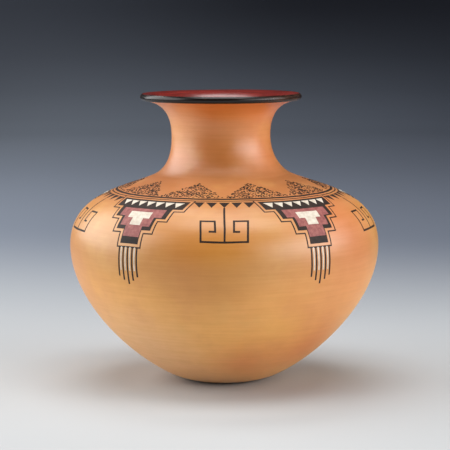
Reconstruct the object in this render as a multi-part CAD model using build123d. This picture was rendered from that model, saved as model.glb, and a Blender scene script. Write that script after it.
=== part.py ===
"""Coil-built pottery jar: a round belly on a small flat foot, a drawn-in neck and a wide turned-out lip.

The jar is made as a potter makes it. A slab is pressed into a shallow mould to give the bowl-shaped base.
Ropes of clay are then laid on it, one ring on another, each lapped down over the inside of the ring below
and scraped flush. A coat of red slip lines the lip, and a band of black paint covers the lip's edge.

Every piece is a turned section in the XZ plane, r along X. Millimetres, +Z up, origin under the foot.
"""

import os
from math import cos, radians, sin

from build123d import *

# Radii of the outside of the jar
foot_radius = 27.0
belly_radius = 105.0
root_radius = 47.0
waist_radius = 33.5
lip_radius = 55.1

# Heights, each measured from the one before: foot, belly, root of the neck, waist of the neck, lip
belly_height = 92.5
shoulder_rise = 47.7
neck_rise = 26.5
flare_rise = 24.0

# Slope of the outside above the horizontal, in degrees
foot_slope = 17.8
root_slope = 24.3
lip_slope = 4.8

# How full each curve is: its handle's length as a share of that stretch's own run or rise
foot_fullness = 0.46
belly_fullness_below = 0.41
belly_fullness_above = 0.74
root_fullness_outside = 0.39
root_fullness_inside = 0.34
waist_fullness_below = 0.68
waist_fullness_above = 0.79
lip_fullness = 0.49
floor_fullness = 0.45

# Clay wall, and the coats on the lip
wall_thickness = 4.4
base_thickness = 6.5
lip_bulge = 1.2
slip_thickness = 0.2
paint_thickness = 0.25

# Coils: how far the pressed base reaches up the outside, how far each coil laps down the inside,
# and how many coils each stretch of the wall has
base_reach = 50.0
coil_lap = 6.0
lower_wall_coils = 4
shoulder_coils = 4
neck_coils = 2
lip_coils = 2

# A joint's cutting line runs past both faces of the wall by this much
cut_overrun = 1.5 * wall_thickness


def at(radius, height):
    """A point of the section."""
    return Vector(radius, 0, height)


def slope(angle, outwards=1):
    """A direction of the section, rising at an angle above the horizontal."""
    return Vector(outwards * cos(radians(angle)), 0, sin(radians(angle)))


def inwards(direction):
    """The normal that points into the clay, for an outside line that runs up from the foot."""
    return Vector(-direction.Z, 0, direction.X)


def sunk(poles, depth):
    """A curve's poles, moved into the clay by a depth, with mitred corners."""
    legs = [(b - a).normalized() for a, b in zip(poles, poles[1:])]
    normals = [inwards(leg) for leg in legs]
    pairs = zip([normals[0], *normals], [*normals, normals[-1]])
    return [pole + (m + n) * (depth / (1 + m.dot(n))) for pole, (m, n) in zip(poles, pairs)]


# Outside of the jar, as four curves that run smoothly into each other
root_height = belly_height + shoulder_rise
waist_height = root_height + neck_rise
lip_height = waist_height + flare_rise

up = slope(90)
foot = at(foot_radius, 0)
belly = at(belly_radius, belly_height)
root = at(root_radius, root_height)
waist = at(waist_radius, waist_height)
lip = at(lip_radius - lip_bulge, lip_height)
shoulder_run = belly_radius - root_radius
neck_run = root_radius - waist_radius

lower_wall_poles = [
    foot,
    foot + slope(foot_slope) * foot_fullness * (belly_radius - foot_radius),
    belly - up * belly_fullness_below * belly_height,
    belly,
]
shoulder_poles = [
    belly,
    belly + up * belly_fullness_above * shoulder_rise,
    root - slope(root_slope, outwards=-1) * root_fullness_outside * shoulder_run,
    root,
]
neck_poles = [
    root,
    root + slope(root_slope, outwards=-1) * root_fullness_inside * neck_run,
    waist - up * waist_fullness_below * neck_rise,
    waist,
]
flare_poles = [
    waist,
    waist + up * waist_fullness_above * flare_rise,
    lip - slope(lip_slope) * lip_fullness * (lip.X - waist_radius),
    lip,
]
stretches = [lower_wall_poles, shoulder_poles, neck_poles, flare_poles]


def skin(depth):
    """The four curves of the wall's surface at a depth below the outside."""
    return [Bezier(*sunk(poles, depth)) for poles in stretches]


outside = skin(0)
inside = skin(wall_thickness)
outside_line = Wire(outside)
lengths = [curve.length for curve in outside]
wall_length = sum(lengths)


def station(length):
    """The point and the direction of the outside, at a length along it from the foot."""
    point = outside_line.position_at(length, PositionMode.LENGTH)
    direction = outside_line.tangent_at(length, PositionMode.LENGTH)
    return point, direction


# Whole section of the finished jar
lip_direction = slope(lip_slope)
lip_top = inside[-1] @ 1
lip_edge = ThreePointArc(lip, (lip + lip_top) / 2 + lip_direction * lip_bulge, lip_top)

base_share = outside[0].param_at_point(station(base_reach)[0])
base_inner_edge = inside[0].position_at(base_share)
base_inner_direction = inside[0].tangent_at(base_share)
floor_middle = at(0, base_thickness)
floor_handle = floor_fullness * base_inner_edge.X
floor_curve = Bezier(
    floor_middle,
    floor_middle + slope(0) * floor_handle,
    base_inner_edge - base_inner_direction * floor_handle,
    base_inner_edge,
)
inside_wall = inside[0].trim(base_share, 1)
ground = Line(at(0, 0), foot)
axis_line = Line(floor_middle, at(0, 0))
jar_section = make_face(
    [ground, *outside, lip_edge, *reversed(inside[1:]), inside_wall, floor_curve, axis_line]
)


def cut_line(length, lap=0):
    """A line across the wall: from the outside, down to the inside by the lap, past both faces."""
    outer, _ = station(length)
    point, direction = station(length - lap)
    inner = point + inwards(direction) * wall_thickness
    past = (inner - outer).normalized() * cut_overrun
    return [outer - past, inner + past]


def band(*lines):
    """The flat region that lies between the first and the last of some lines across the wall."""
    outer_ends = [line[0] for line in lines]
    inner_ends = [line[1] for line in lines]
    return make_face(Polyline(*outer_ends, *reversed(inner_ends), close=True))


# Coats on the lip
paint_setback = Pos(-lip_direction * paint_thickness)
painted_edge = paint_setback * lip_edge
rim_paint_section = make_face(
    [lip_edge, Line(lip_top, painted_edge @ 1), painted_edge, Line(painted_edge @ 0, lip)]
)

slip_back = Bezier(*sunk(flare_poles, wall_thickness - slip_thickness))
lining = make_face(
    [
        slip_back,
        Line(slip_back @ 1, lip_top),
        inside[-1],
        Line(inside[-1] @ 0, slip_back @ 0),
    ]
)
lip_slip_section = lining - rim_paint_section

# Clay: the coils in the order in which they are laid, and the base that they leave
clay_section = jar_section - lip_slip_section - rim_paint_section

zones = [
    ("lower_wall_coil", lower_wall_coils, base_reach, lengths[0]),
    ("shoulder_coil", shoulder_coils, lengths[0], sum(lengths[:2])),
    ("neck_coil", neck_coils, sum(lengths[:2]), sum(lengths[:3])),
    ("lip_coil", lip_coils, sum(lengths[:3]), wall_length),
]
lip_line = cut_line(wall_length)
past_the_lip = [end + lip_direction * cut_overrun for end in lip_line]

sections = {}
base_section = clay_section
lower_joint = cut_line(base_reach, coil_lap)
for zone, count, start, end in zones:
    coil_height = (end - start) / count
    for number in range(1, count + 1):
        top = start + coil_height * number
        middle = cut_line(top - coil_height / 2, coil_lap)
        upper_joint = cut_line(top, coil_lap)
        is_last = zone == "lip_coil" and number == count
        upper_lines = [lip_line, past_the_lip] if is_last else [upper_joint]
        coil_band = band(lower_joint, middle, *upper_lines)
        sections[f"{zone}_{number}"] = clay_section & coil_band
        base_section -= coil_band
        lower_joint = upper_joint

sections["pressed_base"] = base_section
sections["lip_red_slip"] = lip_slip_section
sections["rim_black_paint"] = rim_paint_section

os.makedirs("parts", exist_ok=True)
for node, section in sections.items():
    export_step(revolve(section, Axis.Z), f"parts/{node}.step")
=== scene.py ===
"""Looks of a coil-built pottery jar: stone-polished clay, a red lip, a black rim and a painted shoulder.

Every piece stands in the jar's own frame, in metres: +Z up, the foot's middle at the origin, -Y in front.
"""

import random
from bisect import bisect_right
from itertools import accumulate
from math import atan2, cos, pi, radians, sin, tau

import bmesh
import bpy
from mathutils import Matrix, Vector, noise
from mathutils.geometry import interpolate_bezier


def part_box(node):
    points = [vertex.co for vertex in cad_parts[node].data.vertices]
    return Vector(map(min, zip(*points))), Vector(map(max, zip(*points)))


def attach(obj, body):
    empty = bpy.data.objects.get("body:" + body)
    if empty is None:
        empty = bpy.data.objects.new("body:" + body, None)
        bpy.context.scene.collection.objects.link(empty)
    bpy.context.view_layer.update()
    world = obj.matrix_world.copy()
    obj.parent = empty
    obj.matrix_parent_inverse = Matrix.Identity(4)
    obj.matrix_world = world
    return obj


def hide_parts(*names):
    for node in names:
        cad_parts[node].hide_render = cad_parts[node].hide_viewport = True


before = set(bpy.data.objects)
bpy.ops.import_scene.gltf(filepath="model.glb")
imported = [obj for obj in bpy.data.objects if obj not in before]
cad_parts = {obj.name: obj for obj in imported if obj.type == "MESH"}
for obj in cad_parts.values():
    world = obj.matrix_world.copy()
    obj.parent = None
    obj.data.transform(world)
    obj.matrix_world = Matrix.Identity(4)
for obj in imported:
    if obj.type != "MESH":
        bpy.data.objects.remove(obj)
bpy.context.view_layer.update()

# Pressed base: a slab of clay pressed into a shallow mould, which gives the flat foot, the bowl-shaped floor
# and the first stretch of wall. It is scraped thin and rubbed with a smooth stone before firing, and its
# outside follows the one outline that the whole wall is worked to.
mm = 0.001

foot_radius = 27.0 * mm
belly_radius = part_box("shoulder_coil_1")[1].x
root_radius = 47.0 * mm
waist_radius = 33.5 * mm
lip_bulge = 1.2 * mm
lip_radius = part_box("rim_black_paint")[1].x - lip_bulge
belly_height = 92.5 * mm
root_height = 140.2 * mm
waist_height = 166.7 * mm
lip_height = 190.7 * mm

foot_handle = 35.9 * mm
belly_handle_below = 37.9 * mm
belly_handle_above = 35.3 * mm
root_handle_outside = 22.6 * mm
root_handle_inside = 4.6 * mm
waist_handle_below = 18.0 * mm
waist_handle_above = 19.0 * mm
lip_handle = 10.0 * mm
foot_slope = 17.8
root_slope = 155.7
lip_slope = 4.8

wall_thickness = 4.4 * mm
base_thickness = 6.5 * mm
base_reach = 50.0 * mm
coil_lap = 6.0 * mm


def at(radius, height):
    """A point of the jar's section."""
    return Vector((radius, 0, height))


def slope(angle):
    """A direction of the section, at an angle in degrees from straight outwards."""
    return Vector((cos(radians(angle)), 0, sin(radians(angle))))


up = slope(90)
foot = at(foot_radius, 0)
belly = at(belly_radius, belly_height)
root = at(root_radius, root_height)
waist = at(waist_radius, waist_height)
lip = at(lip_radius, lip_height)

curve_steps = 240
stretches = [
    (foot, foot + slope(foot_slope) * foot_handle, belly - up * belly_handle_below, belly),
    (belly, belly + up * belly_handle_above, root - slope(root_slope) * root_handle_outside, root),
    (root, root + slope(root_slope) * root_handle_inside, waist - up * waist_handle_below, waist),
    (waist, waist + up * waist_handle_above, lip - slope(lip_slope) * lip_handle, lip),
]
outside = [foot]
stretch_ends = []
for stretch in stretches:
    outside += interpolate_bezier(*stretch, curve_steps)[1:]
    stretch_ends.append(len(outside) - 1)
reach = [0, *accumulate((b - a).length for a, b in zip(outside, outside[1:]))]
belly_reach, root_reach, waist_reach, lip_reach = (reach[end] for end in stretch_ends)


def wall_direction(step):
    """The direction in which the outside runs up, at a step of the outline."""
    last = len(outside) - 1
    return (outside[min(step + 1, last)] - outside[max(step - 1, 0)]).normalized()


def wall_point(length, depth=0):
    """A point of the section, at a length along the outside from the foot and a depth into the clay."""
    step = min(max(bisect_right(reach, length) - 1, 0), len(outside) - 2)
    share = (length - reach[step]) / (reach[step + 1] - reach[step])
    point = outside[step].lerp(outside[step + 1], share)
    direction = wall_direction(step).lerp(wall_direction(step + 1), share)
    return point + Vector((-direction.z, 0, direction.x)).normalized() * depth


station_pace = 1.3 * mm
station_edge = 0.06 * mm


def stations(start, end):
    """Lengths from start to end, evenly apart, with a close pair at each end that keeps an edge crisp."""
    count = max(2, round((end - start) / station_pace))
    inner = [start + (end - start) * step / count for step in range(1, count)]
    return [start, start + station_edge, *inner, end - station_edge, end]


neck_drift = 2.0 * mm
drift_start = 128 * mm
drift_span = 40 * mm
wave_length = 45 * mm
wave_depth = 0.3 * mm
flat_foot = 8 * mm
noise.seed_set(5)


def hand_shaped(point):
    """Where a point of the true form lies on the hand-built jar, whose neck drifts and whose wall waves."""
    rise = min(max((point.z - drift_start) / drift_span, 0), 1)
    drift = Vector((-neck_drift * rise * rise * (3 - 2 * rise), 0, 0))
    fade = min(max(point.z / flat_foot, 0), 1)
    return point + drift + noise.noise_vector(point / wave_length) * (wave_depth * fade)


turn_steps = 320
merge_gap = 0.001 * mm
crease_angle = 32


def turned(section, closed=True):
    """A section in the XZ plane, spun round the jar's axis."""
    form = bmesh.new()
    corners = [form.verts.new(point) for point in section]
    ends = corners[1:] + corners[:1] if closed else corners[1:]
    edges = [form.edges.new(pair) for pair in zip(corners, ends)]
    bmesh.ops.spin(
        form,
        geom=corners + edges,
        cent=(0, 0, 0),
        axis=(0, 0, 1),
        angle=tau,
        steps=turn_steps,
        use_merge=True,
    )
    bmesh.ops.remove_doubles(form, verts=form.verts, dist=merge_gap)
    bmesh.ops.recalc_face_normals(form, faces=form.faces)
    return form


def piece(name, form, finish):
    """The object of a finished form, which rides on the jar."""
    for vert in form.verts:
        vert.co = hand_shaped(vert.co)
    mesh = bpy.data.meshes.new(name)
    form.to_mesh(mesh)
    form.free()
    mesh.shade_smooth()
    mesh.set_sharp_from_angle(angle=radians(crease_angle))
    mesh.materials.append(finish)
    made = bpy.data.objects.new(name, mesh)
    bpy.context.scene.collection.objects.link(made)
    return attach(made, "root")


class Shade:
    """One socket of a material, which takes part in sums as a number does."""

    def __init__(self, socket):
        self.socket = socket
        self.tree = socket.id_data

    def node(self, kind, settings=(), sockets=(), output=0):
        """A new node of a kind, with its settings, then its sockets' values or links."""
        made = self.tree.nodes.new(kind)
        for name, value in dict(settings).items():
            setattr(made, name, value)
        for key, value in dict(sockets).items():
            if isinstance(value, Shade):
                self.tree.links.new(value.socket, made.inputs[key])
            else:
                made.inputs[key].default_value = value
        return Shade(made.outputs[output])

    def maths(self, operation, *terms):
        """What a Math node makes of some terms."""
        return self.node("ShaderNodeMath", {"operation": operation}, enumerate(terms))

    def __add__(self, other):
        return self.maths("ADD", self, other)

    def __radd__(self, other):
        return self.maths("ADD", other, self)

    def __mul__(self, other):
        return self.maths("MULTIPLY", self, other)

    def __rmul__(self, other):
        return self.maths("MULTIPLY", other, self)

    def along(self, axis):
        """This place's distance along an axis, which is X, Y or Z."""
        return self.node("ShaderNodeSeparateXYZ", {}, {"Vector": self}, axis)

    def stretched(self, across, upright):
        """This place, with its own number of waves a metre level and upright."""
        return self.node("ShaderNodeMapping", {}, {"Vector": self, "Scale": (across, across, upright)})

    def noise(self, scale, detail, roughness=0.5):
        """Soft noise at this place, from 0 to 1."""
        waves = {"Vector": self, "Scale": scale, "Detail": detail, "Roughness": roughness}
        return self.node("ShaderNodeTexNoise", {}, waves)

    def step(self, low, high):
        """0 where this is under low, 1 where it is over high, and smooth between."""
        limits = {"Value": self, "From Min": low, "From Max": high}
        return self.node("ShaderNodeMapRange", {"interpolation_type": "SMOOTHSTEP"}, limits)

    def near(self, centre, radius):
        """1 at a centre, falling softly to 0 at a radius from it."""
        gap = self.node("ShaderNodeVectorMath", {"operation": "DISTANCE"}, {0: self, 1: centre}, "Value")
        return gap.step(radius, 0.0)

    def blend(self, first, second):
        """The first colour where this is 0, and the second where it is 1."""
        return self.node("ShaderNodeMix", {"data_type": "RGBA"}, {0: self, 6: first, 7: second}, 2)

    def times(self, tint):
        """This colour, multiplied by a tint."""
        mix = {"data_type": "RGBA", "blend_type": "MULTIPLY"}
        return self.node("ShaderNodeMix", mix, {0: 1.0, 6: self, 7: tint}, 2)

    def bump(self, height, strength):
        """The normal of a surface that this raises by a height."""
        raised = {"Height": self, "Distance": height, "Strength": strength}
        return self.node("ShaderNodeBump", {}, raised, "Normal")


def colour(red, green, blue):
    """A colour as it shows on a screen, from 0 to 255, for a shader."""
    shown = [level / 255 for level in (red, green, blue)]
    return [c / 12.92 if c < 0.04045 else ((c + 0.055) / 1.055) ** 2.4 for c in shown] + [1.0]


def new_finish(name):
    """A material, its shader's sockets, and the place on the piece that its patterns read."""
    finish = bpy.data.materials.new(name)
    finish.use_nodes = True
    tree = finish.node_tree
    shader = tree.nodes["Principled BSDF"]
    place = Shade(tree.nodes.new("ShaderNodeTexCoord").outputs["Object"])
    return finish, shader.inputs, place


def feed(socket, shade):
    """Links a shade to a socket of its material's shader."""
    shade.tree.links.new(shade.socket, socket)


golden = colour(204, 142, 72)
pale = colour(246, 178, 91)
low_tone_and_bounce_light = colour(254, 185, 106)
root_tone = colour(190, 125, 73)
neck_tone = colour(214, 132, 65)
under_lip = colour(223, 125, 56)
straw = colour(232, 184, 104)
beige = colour(226, 176, 126)
deep = colour(200, 126, 50)
blush = colour(220, 119, 65)
salmon = colour(208, 126, 76)
coral = colour(228, 142, 88)
cream = colour(248, 194, 140)
painted_light_apricot = colour(250, 170, 112)
smoked = colour(168, 108, 58)
amber = colour(208, 142, 48)
foot_crease_shade = colour(52, 34, 22)
light_tint = (1.03, 1.05, 1.15, 1)
dark_tint = (0.93, 0.885, 0.77, 1)
cloud_strength = 0.22
fleck_strength = 0.2
under_lip_start = 172 * mm
under_lip_full = 186 * mm
# Painted shade: the crease under the foot is darkened from these heights down.
crease_shade_start = 1.6 * mm
crease_shade_full = 0.3 * mm
stroke_depth = 0.02 * mm

clay_finish, clay, clay_place = new_finish("polished_clay")
height = clay_place.along("Z")
tone = golden
# The low zone lightens the wall towards the foot: partly the clay's own paler tone, partly painted bounce
# light from the pale floor.
for zone_tone, none_at, full_at in [
    (pale, 98 * mm, 66 * mm),
    (low_tone_and_bounce_light, 45 * mm, 15 * mm),
    (root_tone, 118 * mm, 132 * mm),
    (neck_tone, 140 * mm, 155 * mm),
]:
    tone = height.step(none_at, full_at).blend(tone, zone_tone)

fire_clouds = clay_place.noise(13, 2)
flecks = clay_place.noise(34, 3, 0.6)
tone = (fire_clouds.step(0.5, 0.72) * cloud_strength).blend(tone, salmon)
tone = (fire_clouds.step(0.45, 0.25) * cloud_strength).blend(tone, beige)
tone = (flecks.step(0.5, 0.7) * fleck_strength).blend(tone, straw)
tone = (flecks.step(0.5, 0.3) * fleck_strength).blend(tone, salmon)
tone = (height.step(under_lip_start, under_lip_full) * 0.8).blend(tone, under_lip)
for fired, centre, spread, strength in [
    (deep, (-0.014, -0.1, 0.0935), 0.054, 0.9),
    (cream, (-0.05, -0.055, 0.03), 0.06, 0.7),
    (blush, (0.055, -0.05, 0.03), 0.04, 0.6),
    (blush, (0.014, -0.065, 0.023), 0.034, 0.5),
    (salmon, (0.078, -0.062, 0.114), 0.06, 0.85),
    (coral, (0.03, -0.022, 0.16), 0.03, 0.5),
    # Painted light: this cream patch lightens the left of the neck just under the lip, against the shadow
    # that the lip casts there.
    (cream, (-0.031, -0.017, 0.176), 0.032, 0.65),
    # Painted reflection: this cream patch at the front of the foot stands for the pale floor's light
    # bouncing onto the clay.
    (cream, (-0.01, -0.03, 0.0), 0.038, 0.6),
    (salmon, (-0.1, -0.02, 0.068), 0.05, 0.5),
    (blush, (0.092, -0.05, 0.066), 0.05, 0.4),
    (salmon, (0.064, -0.076, 0.066), 0.045, 0.45),
    # Painted light: the apricot patch adds to the cream one above, lifting the lip's shadow on the left of
    # the neck.
    (painted_light_apricot, (-0.034, -0.026, 0.186), 0.03, 0.7),
    (deep, (0.004, -0.036, 0.168), 0.026, 0.4),
    (smoked, (-0.004, -0.044, 0.15), 0.03, 0.45),
    (amber, (-0.002, -0.1, 0.089), 0.032, 0.5),
]:
    tone = (clay_place.near(centre, spread) * strength).blend(tone, fired)

strokes = clay_place.stretched(24, 560).noise(1, 4, 0.6)
fine_strokes = clay_place.stretched(50, 1900).noise(1, 2)
mottle = clay_place.noise(110, 4, 0.6)
rubbed = (strokes * 0.5 + mottle * 0.3 + fine_strokes * 0.2).step(0.28, 0.72)
lighter = tone.times(light_tint)
darker = tone.times(dark_tint)
# Painted shade: the clay is darkened nearly to black in the lowest 1.6 mm of the foot, where the crease
# between the rounded foot and the floor lies in shadow.
crease_shade_mask = height.step(crease_shade_start, crease_shade_full) * 0.9
feed(clay["Base Color"], crease_shade_mask.blend(rubbed.blend(darker, lighter), foot_crease_shade))
feed(clay["Roughness"], 0.33 + 0.08 * strokes + 0.06 * mottle)
clay["Specular IOR Level"].default_value = 0.8
feed(clay["Normal"], (strokes * 0.6 + fine_strokes * 0.4).bump(stroke_depth, 0.5))

bowl_fullness = 0.45
foot_rounding = 11 * mm
bend_points = 24
bowl_middle = at(0, base_thickness)
bowl_reach = base_reach - coil_lap
bowl_edge = wall_point(bowl_reach, wall_thickness)
bowl_handle = bowl_fullness * bowl_edge.x
bowl_rise = (bowl_edge - wall_point(bowl_reach - mm, wall_thickness)).normalized()
bowl_line = interpolate_bezier(
    bowl_edge,
    bowl_edge - bowl_rise * bowl_handle,
    bowl_middle + slope(0) * bowl_handle,
    bowl_middle,
    bend_points,
)
rounded_foot = interpolate_bezier(
    foot - slope(0) * foot_rounding,
    foot - slope(0) * foot_rounding / 3,
    foot + slope(foot_slope) * foot_rounding / 3,
    wall_point(foot_rounding),
    bend_points,
)
base_wall = [wall_point(length) for length in stations(foot_rounding, base_reach)]
base_section = [at(0, 0), *rounded_foot[:-1], *base_wall, *bowl_line]
base = piece("polished_pressed_base", turned(base_section, closed=False), clay_finish)
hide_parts("pressed_base")

# Coils of the lower wall, the shoulder and the neck: ropes of clay laid ring on ring, each pinched to the
# thickness of the wall and lapped down over the inside of the ring below, then scraped and polished until no
# joint shows.


def coil_section(start, end):
    """The section of a coil between two lengths along the outside."""
    front = [wall_point(length) for length in stations(start, end)]
    back = [wall_point(length, wall_thickness) for length in stations(start - coil_lap, end - coil_lap)]
    return front + back[::-1]


def coil_count(zone):
    """How many coils a zone of the wall has."""
    return sum(node.startswith(zone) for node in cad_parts)


for zone, zone_start, zone_end in [
    ("lower_wall_coil", base_reach, belly_reach),
    ("shoulder_coil", belly_reach, root_reach),
    ("neck_coil", root_reach, waist_reach),
]:
    count = coil_count(zone)
    for number in range(count):
        start = zone_start + (zone_end - zone_start) * number / count
        end = zone_start + (zone_end - zone_start) * (number + 1) / count
        node = f"{zone}_{number + 1}"
        coil = piece(f"polished_{node}", turned(coil_section(start, end)), clay_finish)
        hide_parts(node)

# Coils of the lip: the last two rings of the same clay, turned out over the fingers into a wide flare with
# a rounded edge. Their inside is set back by the coat of slip that covers it, and their edge by the paint
# on the rim.
slip_thickness = 0.2 * mm
paint_thickness = 0.25 * mm
edge_steps = 10


def lip_edge(setback):
    """The rounded edge of the lip, from its underside to its top, set back by a thickness."""
    under = wall_point(lip_reach)
    top = wall_point(lip_reach, wall_thickness)
    outwards = slope(lip_slope)
    half = (top - under) / 2
    points = []
    for step in range(edge_steps + 1):
        share = step / edge_steps * 2 - 1
        bulge = lip_bulge * (1 - share * share) - setback
        points.append(under + half * (share + 1) + outwards * bulge)
    return points


lip_count = coil_count("lip_coil")
for number in range(lip_count):
    start = waist_reach + (lip_reach - waist_reach) * number / lip_count
    end = waist_reach + (lip_reach - waist_reach) * (number + 1) / lip_count
    lowest = start - coil_lap
    highest = end - coil_lap
    front = [wall_point(length) for length in stations(start, end)]
    if number == lip_count - 1:
        highest = end
        front += lip_edge(paint_thickness)
    bare = []
    if lowest < waist_reach:
        bare = [wall_point(length, wall_thickness) for length in stations(lowest, waist_reach)]
    coated = stations(max(lowest, waist_reach), highest)
    backed = [wall_point(length, wall_thickness - slip_thickness) for length in coated]
    node = f"lip_coil_{number + 1}"
    coil = piece(f"polished_{node}", turned(front + (bare + backed)[::-1]), clay_finish)
    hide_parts(node)

# Red slip: a thin coat of iron-rich liquid clay, brushed round the inside of the lip and rubbed with the
# stone until it shines. It lines the flare from the waist of the neck to the edge.
slip_dark = colour(94, 26, 21)
slip_light = colour(126, 38, 31)
sweep_depth = 0.04 * mm

slip_finish, slip, slip_place = new_finish("polished_red_slip")
sweeps = slip_place.stretched(30, 900).noise(1, 3, 0.6)
clouds = slip_place.noise(60, 3)
slip_tone = (sweeps * 0.6 + clouds * 0.4).step(0.3, 0.7)
feed(slip["Base Color"], slip_tone.blend(slip_dark, slip_light))
feed(slip["Roughness"], 0.2 + 0.12 * sweeps)
feed(slip["Normal"], sweeps.bump(sweep_depth, 0.4))

lined = stations(waist_reach, lip_reach)
slip_face = [wall_point(length, wall_thickness) for length in lined]
slip_back = [wall_point(length, wall_thickness - slip_thickness) for length in lined]
lip_slip = piece("red_slip_of_the_lip", turned(slip_face + slip_back[::-1]), slip_finish)
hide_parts("lip_red_slip")

# Black rim: a band of black mineral paint drawn round the edge of the lip with a yucca brush. It has a soft
# shine, and it is rubbed through to the clay in small spots where the jar is handled.
rim_dark = colour(10, 6, 4)
rim_light = colour(32, 20, 14)
rim_thinned = colour(84, 54, 38)
rim_clay = colour(150, 92, 58)
thinned_middle = (0.045, -0.03, 0.19)
thinned_spread = 35 * mm
streak_depth = 0.04 * mm

rim_finish, rim, rim_place = new_finish("black_rim_paint")
wear = rim_place.noise(150, 4, 0.65).step(0.64, 0.72)
streaks = rim_place.stretched(60, 1500).noise(1, 3)
rim_tone = streaks.step(0.3, 0.75).blend(rim_dark, rim_light)
thinned = rim_place.near(thinned_middle, thinned_spread) * streaks.step(0.35, 0.6)
rim_tone = (thinned * 0.8).blend(rim_tone, rim_thinned)
feed(rim["Base Color"], (wear * 0.7).blend(rim_tone, rim_clay))
feed(rim["Roughness"], 0.2 + 0.12 * streaks)
rim["Specular IOR Level"].default_value = 0.35
feed(rim["Normal"], streaks.bump(streak_depth, 0.4))

rim_section = lip_edge(0) + lip_edge(paint_thickness)[::-1]
rim_paint = piece("black_paint_of_the_rim", turned(rim_section), rim_finish)
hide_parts("rim_black_paint")

# Framing lines: two rings of black paint drawn round the shoulder with a long brush while the jar is turned,
# a broad one and a fine one below it. All the other painting is set out from them.
repeats = 5
frame_reach = 182.0 * mm
paint_lift = 0.035 * mm
slow_stray = 0.28 * mm
slow_length = 14 * mm
fast_stray = 0.07 * mm
fast_length = 2.5 * mm
meridian_shift = 50 * mm


def wandering(across, length, meridian):
    """How far a painted point strays along and across the wall, by the unsteadiness of a hand."""
    here = Vector((across, length, meridian * meridian_shift))
    slow = noise.noise_vector(here / slow_length) * slow_stray
    fast = noise.noise_vector(here / fast_length) * fast_stray
    return slow + fast


def on_wall(across, length, meridian, lift):
    """The place of a painted point: across its meridian, along the wall, and lifted off the clay."""
    point = wall_point(length, -lift)
    angle = meridian + across / wall_point(length).x
    return Vector((point.x * sin(angle), -point.x * cos(angle), point.z))


black_dark = colour(32, 23, 19)
black_light = colour(60, 44, 36)

black_finish, black, black_place = new_finish("black_paint")
black_grain = black_place.noise(420, 3, 0.6)
patches = black_place.noise(70, 2)
black_tone = (black_grain * 0.6 + patches * 0.4).step(0.35, 0.75)
feed(black["Base Color"], black_tone.blend(black_dark, black_light))
feed(black["Roughness"], 0.5 + 0.2 * black_grain)
black["Specular IOR Level"].default_value = 0.25

for name, below, width in [("broad", 0.9 * mm, 1.8 * mm), ("fine", 3.6 * mm, 0.8 * mm)]:
    low = frame_reach - below - width / 2
    high = low + width
    low_skin = wall_point(low, -paint_lift)
    high_skin = wall_point(high, -paint_lift)
    line = turned([low_skin, high_skin, wall_point(high), wall_point(low)])
    uphill = (high_skin - low_skin).normalized()
    for vert in line.verts:
        angle = atan2(vert.co.x, -vert.co.y)
        stray = wandering(sin(angle) * frame_reach, cos(angle) * frame_reach, below).y
        vert.co += Vector((uphill.x * sin(angle), -uphill.x * cos(angle), uphill.z)) * stray
    ring = piece(f"black_{name}_framing_line", line, black_finish)

# Stippled mountains: a border of triangles above the framing lines, filled with dabs of the same black
# paint from the chewed end of the brush, dense at the foot and scattered at the top.
mountains = 2 * repeats
mountain_height = 21 * mm
mountain_gap = 1.2 * mm
mountain_share = 0.95
dabs_tried = 620
dab_radius = 0.88 * mm
dab_gap = 1.3 * mm
dab_corners = 6
dab_thinning = 1.25
half_base = pi / mountains * wall_point(frame_reach).x * mountain_share

random.seed(7)
dabs = bmesh.new()
for mountain in range(mountains):
    meridian = tau * (mountain + 0.5) / mountains
    laid = []
    for dab in range(dabs_tried):
        rise = random.random() ** dab_thinning
        across = random.uniform(-1, 1) * half_base * (1 - rise)
        spot = Vector((across, frame_reach + mountain_gap + rise * mountain_height, meridian))
        size = dab_radius * random.uniform(0.6, 1.15)
        turn = Matrix.Rotation(random.random() * tau, 4, "Z")
        squeeze = Matrix.Diagonal((random.uniform(1.0, 1.5), random.uniform(0.65, 1.0), 1, 1))
        if all((spot - other).length > dab_gap for other in laid):
            laid.append(spot)
            lay = Matrix.Translation(spot) @ turn @ squeeze
            bmesh.ops.create_circle(dabs, cap_ends=True, radius=size, segments=dab_corners, matrix=lay)


def painted(name, flat, finish, coats=1):
    """A film of paint on the wall, from a flat sheet whose points give the way across, along and round."""
    film = bmesh.ops.extrude_face_region(flat, geom=flat.faces[:])
    skin = {part for part in film["geom"] if isinstance(part, bmesh.types.BMVert)}
    for vert in flat.verts:
        across, length, meridian = vert.co
        stray = wandering(across, length, meridian)
        lift = paint_lift * coats if vert in skin else 0
        vert.co = on_wall(across + stray.x, length + stray.y, meridian, lift)
    bmesh.ops.recalc_face_normals(flat, faces=flat.faces)
    return piece(name, flat, finish)


stipple = painted("black_stippled_mountains", dabs, black_finish)

# Cloud terraces: stepped clouds that hang from the framing lines, drawn in outline and filled with black.
# Below each the rain falls in bars, each a stroke of the brush.
cloud_top = 5.5 * mm
cloud_steps = 4
cloud_step_height = 9.5 * mm
cloud_half_width = 27 * mm
cloud_step_width = 6.6 * mm
cloud_foot = cloud_top + cloud_steps * cloud_step_height
outline_top = 4.0 * mm
outline_gap = 2.2 * mm
outline_width = 0.9 * mm
outline_half_width = cloud_half_width + outline_gap
outline_drop = cloud_top + outline_gap - outline_top
rain_top = cloud_foot + outline_gap
rain_pace = 3.6 * mm
rain_length = 24 * mm
rain_taper = 2.5 * mm
rain_width = 1.2 * mm
cut_pace = 2.0 * mm


def stairs(top, half_width, steps, step_width, step_height):
    """The outline of an inverted flight of steps, by its distance below the framing lines."""
    right = []
    for step in range(steps):
        width = half_width - step * step_width
        right += [(width, top + step * step_height), (width, top + (step + 1) * step_height)]
    return right + [(-x, y) for x, y in reversed(right)]


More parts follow.
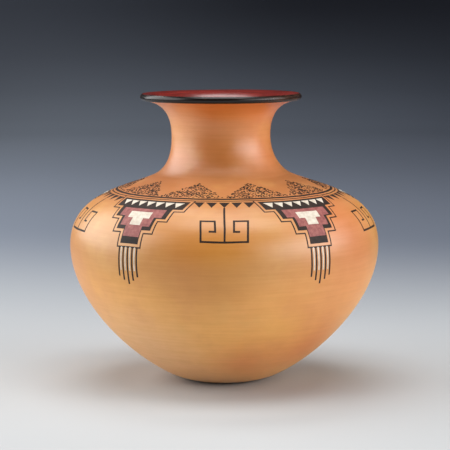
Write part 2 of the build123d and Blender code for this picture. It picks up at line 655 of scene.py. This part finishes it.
def brushed(line, width):
    """The outline of a brush stroke of one width along a line with square or slanting corners."""
    points = [Vector(point) for point in line]
    legs = [(b - a).normalized() for a, b in zip(points, points[1:])]
    sides = [Vector((-leg.y, leg.x)) for leg in legs]
    pairs = zip([sides[0], *sides], [*sides, sides[-1]])
    offsets = [(m + n) * (width / 2 / (1 + m.dot(n))) for m, n in pairs]
    left = [point + offset for point, offset in zip(points, offsets)]
    right = [point - offset for point, offset in zip(points, offsets)]
    return left + right[::-1]


def motif(outlines, meridians):
    """Flat outlines laid out on each of some meridians, and cut up finely enough to follow the wall."""
    flat = bmesh.new()
    for meridian in meridians:
        for outline in outlines:
            flat.faces.new([flat.verts.new((x, frame_reach - y, meridian)) for x, y in outline])
    flat.normal_update()
    bmesh.ops.triangulate(flat, faces=flat.faces[:], ngon_method="EAR_CLIP")
    for axis in (0, 1):
        normal = Vector((1 - axis, axis, 0))
        low = min(vert.co[axis] for vert in flat.verts)
        high = max(vert.co[axis] for vert in flat.verts)
        for cut in range(1, int((high - low) / cut_pace) + 1):
            whole = flat.verts[:] + flat.edges[:] + flat.faces[:]
            cut_at = normal * (low + cut * cut_pace)
            bmesh.ops.bisect_plane(flat, geom=whole, plane_co=cut_at, plane_no=normal)
    return flat


terrace_meridians = [tau * (number + 0.5) / repeats for number in range(repeats)]
cloud = stairs(cloud_top, cloud_half_width, cloud_steps, cloud_step_width, cloud_step_height)
around = stairs(outline_top, outline_half_width, cloud_steps, cloud_step_width, cloud_step_height)
around = [(x, y + outline_drop if y > outline_top else y) for x, y in around]
rain_bars = []
for bar in range(-2, 3):
    x = bar * rain_pace
    rain_foot = rain_top + rain_length - rain_taper * abs(bar)
    rain_bars.append(brushed([(x, rain_top), (x, rain_foot)], rain_width))
black_cloud = motif([cloud, brushed(around, outline_width), *rain_bars], terrace_meridians)
cloud_paint = painted("black_cloud_terraces", black_cloud, black_finish)

# Maroon steps: a second, smaller flight of steps in maroon mineral paint, laid over the black of each cloud
# once that has dried.
maroon_dark = colour(132, 66, 62)
maroon_light = colour(166, 100, 92)
maroon_top = cloud_top + 10.5 * mm

maroon_finish, maroon, maroon_place = new_finish("maroon_paint")
maroon_grain = maroon_place.noise(380, 3, 0.6)
feed(maroon["Base Color"], maroon_grain.step(0.3, 0.75).blend(maroon_dark, maroon_light))
feed(maroon["Roughness"], 0.5 + 0.2 * maroon_grain)

maroon_steps = stairs(maroon_top, half_width=17 * mm, steps=3, step_width=5.2 * mm, step_height=7.6 * mm)
maroon_cloud = motif([maroon_steps], terrace_meridians)
painted("maroon_cloud_steps", maroon_cloud, maroon_finish, coats=2)

# White accents: kaolin paint laid on last, as a row of teeth along the top of each cloud, a small flight of
# steps at its heart and drops between the bars of rain.
white_dark = colour(200, 186, 166)
white_light = colour(224, 214, 198)
tooth_width = 6.4 * mm
tooth_pace = 1.1 * tooth_width
tooth_top = cloud_top + 2 * mm
tooth_tip = cloud_top + 7.6 * mm
heart_top = maroon_top + 3.2 * mm
drop_length = 15 * mm
drop_width = 0.9 * mm

white_finish, white, white_place = new_finish("white_paint")
white_grain = white_place.noise(380, 3, 0.6)
feed(white["Base Color"], white_grain.step(0.25, 0.7).blend(white_dark, white_light))
feed(white["Roughness"], 0.55 + 0.15 * white_grain)

teeth = []
for tooth in range(-3, 4):
    x = tooth * tooth_pace
    teeth.append([(x - tooth_width / 2, tooth_top), (x + tooth_width / 2, tooth_top), (x, tooth_tip)])
heart = stairs(heart_top, half_width=8.6 * mm, steps=2, step_width=4.4 * mm, step_height=5.6 * mm)
drops = []
for drop in (-1.5, -0.5, 0.5, 1.5):
    x = drop * rain_pace
    drops.append(brushed([(x, rain_top), (x, rain_top + drop_length)], drop_width))
white_cloud = motif([*teeth, heart, *drops], terrace_meridians)
painted("white_cloud_accents", white_cloud, white_finish, coats=3)

# Frets: between the clouds, a fringe of teeth along the framing lines and a pair of angular hooks on a
# stem, brushed in the same black paint with strokes of one width.
fringe_pace = 8.0 * mm
fringe_half_width = 3.6 * mm
fringe_top = 5.5 * mm
fringe_tip = 12 * mm
fret_width = 1.3 * mm
fret_foot = 40 * mm
hook_reach = 15 * mm
hook_top = 25 * mm
hook_inside = 6 * mm
hook_end = 10 * mm
hook_turn = 33 * mm

fret_meridians = [tau * number / repeats for number in range(repeats)]
fringe = []
for tooth in range(-2, 3):
    x = tooth * fringe_pace
    left = (x - fringe_half_width, fringe_top)
    right = (x + fringe_half_width, fringe_top)
    fringe.append([left, right, (x, fringe_tip)])
hook = [
    (0, fret_foot),
    (hook_reach, fret_foot),
    (hook_reach, hook_top),
    (hook_inside, hook_top),
    (hook_inside, hook_turn),
    (hook_end, hook_turn),
]
hooks = [brushed([(side * x, y) for x, y in hook], fret_width) for side in (-1, 1)]
stem = brushed([(0, fringe_tip), (0, fret_foot)], fret_width)
fret_paint = painted("black_frets", motif([*fringe, *hooks, stem], fret_meridians), black_finish)

# Stage: a pale paper floor that curves up into a backdrop all round, toned darker behind the jar and
# beside it. Five soft lamps light it from above, from both sides, from the front and from the back, and
# the camera stands in front.
stage_radius = 4.2
stage_bend = 1.8
stage_height = 5.0
bend_steps = 12
flat_radius = stage_radius - stage_bend
stage_line = [at(0, 0), at(flat_radius, 0)]
for step in range(1, bend_steps + 1):
    angle = radians(step / bend_steps * 90)
    stage_line.append(at(flat_radius + stage_bend * sin(angle), stage_bend * (1 - cos(angle))))
stage_line.append(at(stage_radius, stage_height))
stage = turned(stage_line, closed=False)
bmesh.ops.reverse_faces(stage, faces=stage.faces[:])
stage_mesh = bpy.data.meshes.new("floor")
stage.to_mesh(stage_mesh)
stage.free()
stage_mesh.shade_smooth()
floor = bpy.data.objects.new("floor", stage_mesh)
bpy.context.scene.collection.objects.link(floor)

near_tone = colour(184, 186, 187)
front_tone = colour(206, 206, 204)
beside_tone = colour(8, 8, 10)
sides_tone = colour(150, 156, 168)
behind_left = colour(122, 129, 141)
behind_right = colour(100, 106, 118)
further_left = colour(145, 153, 165)
further_right = colour(113, 120, 133)
distant_left = colour(96, 101, 112)
distant_right = colour(45, 47, 55)
backdrop_skew = 0.2

paper_finish, paper, paper_place = new_finish("pale_paper")
depth = paper_place.along("Y")
aside = paper_place.along("X")
sideways = aside.maths("ABSOLUTE", aside)
away = depth + aside * backdrop_skew
level = {0: paper_place, 1: (1, 1, 0)}
flat_place = paper_place.node("ShaderNodeVectorMath", {"operation": "MULTIPLY"}, level)
far = flat_place.node("ShaderNodeVectorMath", {"operation": "LENGTH"}, {0: flat_place}, "Value")
behind = aside.step(-0.45, 0.45).blend(behind_left, behind_right)
further = aside.step(-0.6, 0.6).blend(further_left, further_right)
distant = aside.step(-0.8, 0.3).blend(distant_left, distant_right)
distant = sideways.step(1.2, 2.6).blend(distant, sides_tone)
shaded = far.step(1.5, 2.7).blend(behind, further)
paper_tone = near_tone
for measure, none_at, full_at, zone_tone in [
    (away, -0.12, 0.82, shaded),
    (depth, -0.22, -0.5, front_tone),
    (sideways, 0.22, 1.35, beside_tone),
    (sideways, 2.3, 2.7, sides_tone),
    (far, 2.5, 3.45, distant),
]:
    paper_tone = measure.step(none_at, full_at).blend(paper_tone, zone_tone)
feed(paper["Base Color"], paper_tone)
paper["Roughness"].default_value = 0.7
paper["Specular IOR Level"].default_value = 0.1
stage_mesh.materials.append(paper_finish)


def softbox(name, place, aim, width, height, power):
    """A rectangular lamp at a place, turned to an aim."""
    lamp = bpy.data.lights.new(name, "AREA")
    lamp.shape = "RECTANGLE"
    lamp.size = width
    lamp.size_y = height
    lamp.energy = power
    made = bpy.data.objects.new(name, lamp)
    made.location = place
    made.rotation_euler = (Vector(aim) - Vector(place)).to_track_quat("-Z", "Y").to_euler()
    made.visible_camera = False
    bpy.context.scene.collection.objects.link(made)


jar_middle = (0, 0, 0.1)
jar_lip = (0, 0, 0.19)
under_overhead = (0.1, -0.324, 0)
softbox("overhead_softbox", (0.1, -0.324, 2.08), under_overhead, width=1.9, height=1.0, power=29)
softbox("left_softbox", (-1.746, 0.27, 0.964), jar_middle, width=2.88, height=1.8, power=58)
softbox("right_softbox", (1.77, -0.3, 1.0), jar_middle, width=1.62, height=1.62, power=15.8)
softbox("front_softbox", (1.71, -0.99, 0.62), jar_middle, width=2.16, height=0.86, power=24)
softbox("back_softbox", (-0.09, 0.83, 1.88), jar_lip, width=0.99, height=0.54, power=10.5)

room_tint = colour(190, 205, 235)
room_strength = 0.03
world = bpy.data.worlds.new("room")
world.use_nodes = True
room = world.node_tree.nodes["Background"].inputs
room["Color"].default_value = room_tint
room["Strength"].default_value = room_strength
bpy.context.scene.world = world

camera_place = Vector((0, -1.2, 0.2529))
camera_aim = Vector((0.0005, 0, 0.1051))
camera_roll = 0.25
lens = bpy.data.cameras.new("camera")
lens.sensor_width = 36
lens.lens = 141.5
camera = bpy.data.objects.new("camera", lens)
camera.location = camera_place
aimed = (camera_aim - camera_place).to_track_quat("-Z", "Y").to_matrix()
rolled = aimed @ Matrix.Rotation(radians(-camera_roll), 3, "Z")
camera.rotation_euler = rolled.to_euler()
bpy.context.scene.collection.objects.link(camera)
bpy.context.scene.camera = camera
bpy.context.scene.view_settings.view_transform = "Standard"
